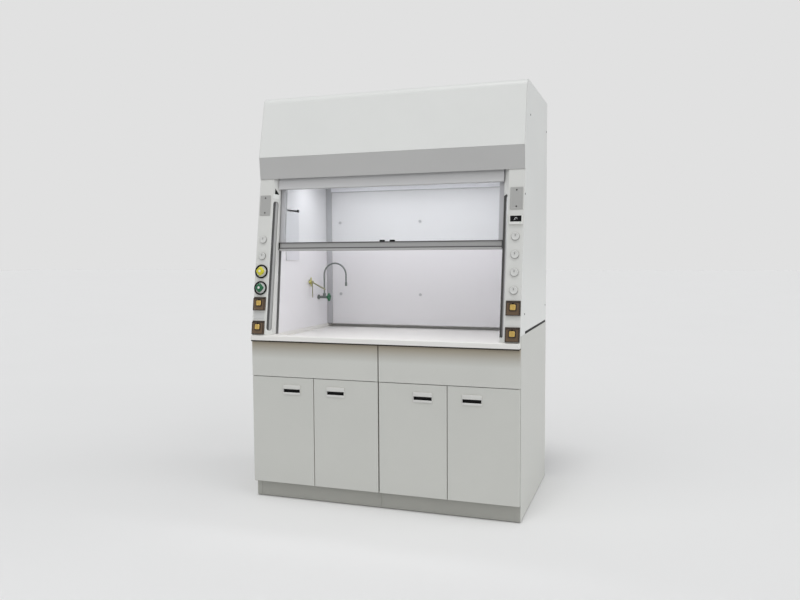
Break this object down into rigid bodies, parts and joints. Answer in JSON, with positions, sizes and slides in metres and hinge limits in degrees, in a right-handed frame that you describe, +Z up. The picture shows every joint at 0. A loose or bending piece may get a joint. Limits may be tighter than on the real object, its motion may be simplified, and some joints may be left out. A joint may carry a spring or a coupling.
{
  "type": "fume hood",
  "caption": "Free-standing laboratory fume hood: counterbalanced glass sash over a lined work chamber, service fittings on leaning posts, and base cabinets with hinged doors.",
  "frame": {"origin": "on the floor, in the middle of the width and of the depth", "axes": "+X across the front to the viewer's right, +Y from the front to the back, +Z up"},
  "size_m": [1.503, 0.915, 2.31],
  "materials": {
    "white_paint": "smooth powder coat, semi-matt",
    "grey_paint": "smooth powder coat, semi-matt",
    "cabinet_paint": "smooth powder coat, semi-matt",
    "pull_plastic": "moulded, satin",
    "worktop_white": "smooth cast, satin",
    "dark_board": "dense laminate core, matt",
    "liner_board": "smooth resin board",
    "access_board": "smooth resin board",
    "trim_aluminium": "anodised, satin",
    "blank_plate": "satin",
    "sash_glass": "clear, polished",
    "black_plastic": "moulded, fine texture",
    "white_plastic": "moulded, satin",
    "display": "gloss black window",
    "lens": "opal diffuser",
    "socket_brown": "moulded, gloss",
    "cover_brown": "tea-brown splash cover, gloss",
    "yellow_enamel": "gloss",
    "green_enamel": "gloss",
    "tap_coating": "epoxy-coated brass",
    "nozzle_coating": "epoxy-coated brass",
    "zinc_steel": "zinc plated",
    "pulley_nylon": "moulded nylon",
    "weight_iron": "cast, painted"
  },
  "bodies": {
    "housing": {"access_panel": "access_board", "back_baffle": "liner_board", "back_panel": "white_paint", "baffle_trim": "trim_aluminium", "base_cabinet_left": "cabinet_paint", "base_cabinet_right": "cabinet_paint", "blank_plates": "blank_plate", "bonnet": "white_paint", "bonnet_band": "grey_paint", "cabinet_shelves": "cabinet_paint", "end_panels": "cabinet_paint", "exhaust_collar": "zinc_steel", "gas_nozzle": "nozzle_coating", "header_panel": "white_paint", "hole_plugs": "white_plastic", "jamb_channels": "trim_aluminium", "levelling_feet": "zinc_steel", "light_fixture": "white_plastic", "light_lens": "lens", "liner_ceiling": "liner_board", "liner_sides": "liner_board", "monitor_display": "display", "monitor_housing": "white_plastic", "outlet_bases": "socket_brown", "post_left": "white_paint", "post_right": "white_paint", "pulley_brackets": "zinc_steel", "sash_cables": "zinc_steel", "sash_tracks": "trim_aluminium", "side_panels": "white_paint", "side_screws": "zinc_steel", "top_panel": "white_paint", "upper_front_panels": "cabinet_paint", "valve_rings": "black_plastic", "water_tap": "tap_coating", "worktop": "worktop_white", "worktop_base": "dark_board"},
    "sash": {"sash_frame": "trim_aluminium", "sash_handle": "trim_aluminium", "sash_glass": "sash_glass", "sash_clips": "black_plastic"},
    "counterweights": {"counterweights": "weight_iron"},
    "pulleys": {"sash_pulleys": "pulley_nylon"},
    "gas_valve": {"valve_handle_yellow": "yellow_enamel"},
    "water_valve": {"valve_handle_green": "green_enamel"},
    "gas_cock": {"gas_handle": "yellow_enamel"},
    "tap_valve": {"tap_handle": "green_enamel"},
    "swan_neck": {"gooseneck": "tap_coating"},
    "door_1": {"door_1": "cabinet_paint", "door_pull_1": "pull_plastic"},
    "cover_1": {"outlet_cover_1": "cover_brown"},
    "door_2": {"door_2": "cabinet_paint", "door_pull_2": "pull_plastic"},
    "cover_2": {"outlet_cover_2": "cover_brown"},
    "door_3": {"door_3": "cabinet_paint", "door_pull_3": "pull_plastic"},
    "cover_3": {"outlet_cover_3": "cover_brown"},
    "door_4": {"door_4": "cabinet_paint", "door_pull_4": "pull_plastic"},
    "cover_4": {"outlet_cover_4": "cover_brown"}
  },
  "joints": [
    {"name": "sash_slide", "type": "slide", "parent": "housing", "child": "sash", "axis": [0, 0.1132, 0.9936], "range_m": [-0.466, 0.015], "deforming": ["sash_cables"]},
    {"name": "weight_slide", "type": "slide", "parent": "housing", "child": "counterweights", "axis": [0, 0, 1], "range_m": [-0.017, 0.468]},
    {"name": "pulley_spin", "type": "hinge", "parent": "housing", "child": "pulleys", "pos_m": [0.667, -0.16014, 2.11219], "axis": [1, 0, 0], "range_deg": [-20, 489]},
    {"name": "door_1_hinge", "type": "hinge", "parent": "housing", "child": "door_1", "pos_m": [-0.739, -0.4325, 0.3915], "axis": [0, 0, -1], "range_deg": [0, 110]},
    {"name": "door_2_hinge", "type": "hinge", "parent": "housing", "child": "door_2", "pos_m": [-0.013, -0.4325, 0.3915], "axis": [0, 0, 1], "range_deg": [0, 86]},
    {"name": "door_3_hinge", "type": "hinge", "parent": "housing", "child": "door_3", "pos_m": [0.013, -0.4325, 0.3915], "axis": [0, 0, -1], "range_deg": [0, 86]},
    {"name": "door_4_hinge", "type": "hinge", "parent": "housing", "child": "door_4", "pos_m": [0.739, -0.4325, 0.3915], "axis": [0, 0, 1], "range_deg": [0, 110]},
    {"name": "cover_1_hinge", "type": "hinge", "parent": "housing", "child": "cover_1", "pos_m": [-0.71, -0.41969, 1.125], "axis": [-1, 0, 0], "range_deg": [0, 110]},
    {"name": "cover_2_hinge", "type": "hinge", "parent": "housing", "child": "cover_2", "pos_m": [-0.71, -0.43959, 0.994], "axis": [-1, 0, 0], "range_deg": [0, 110]},
    {"name": "cover_3_hinge", "type": "hinge", "parent": "housing", "child": "cover_3", "pos_m": [0.71, -0.41969, 1.125], "axis": [-1, 0, 0], "range_deg": [0, 110]},
    {"name": "cover_4_hinge", "type": "hinge", "parent": "housing", "child": "cover_4", "pos_m": [0.71, -0.43959, 0.994], "axis": [-1, 0, 0], "range_deg": [0, 110]},
    {"name": "gas_valve_turn", "type": "hinge", "parent": "housing", "child": "gas_valve", "pos_m": [-0.71, -0.39108, 1.27], "axis": [0, -0.9887, 0.1502], "range_deg": [0, 90]},
    {"name": "water_valve_turn", "type": "hinge", "parent": "housing", "child": "water_valve", "pos_m": [-0.71, -0.40506, 1.178], "axis": [0, -0.9887, 0.1502], "range_deg": [0, 540]},
    {"name": "gas_cock_turn", "type": "hinge", "parent": "housing", "child": "gas_cock", "pos_m": [-0.628, 0.0755, 1.195], "axis": [1, 0, 0], "range_deg": [0, 90]},
    {"name": "tap_valve_turn", "type": "hinge", "parent": "housing", "child": "tap_valve", "pos_m": [-0.574, 0.2025, 1.096], "axis": [1, 0, 0], "range_deg": [0, 360]},
    {"name": "swan_neck_swivel", "type": "hinge", "parent": "housing", "child": "swan_neck", "pos_m": [-0.598, 0.2025, 1.096], "axis": [0, 0, 1], "range_deg": [-45, 45]}
  ],
  "couplings": [
    {"joint": "weight_slide", "follows": "sash_slide", "ratio": -1},
    {"joint": "pulley_spin", "follows": "sash_slide", "rad_per_m": -18.182}
  ]
}
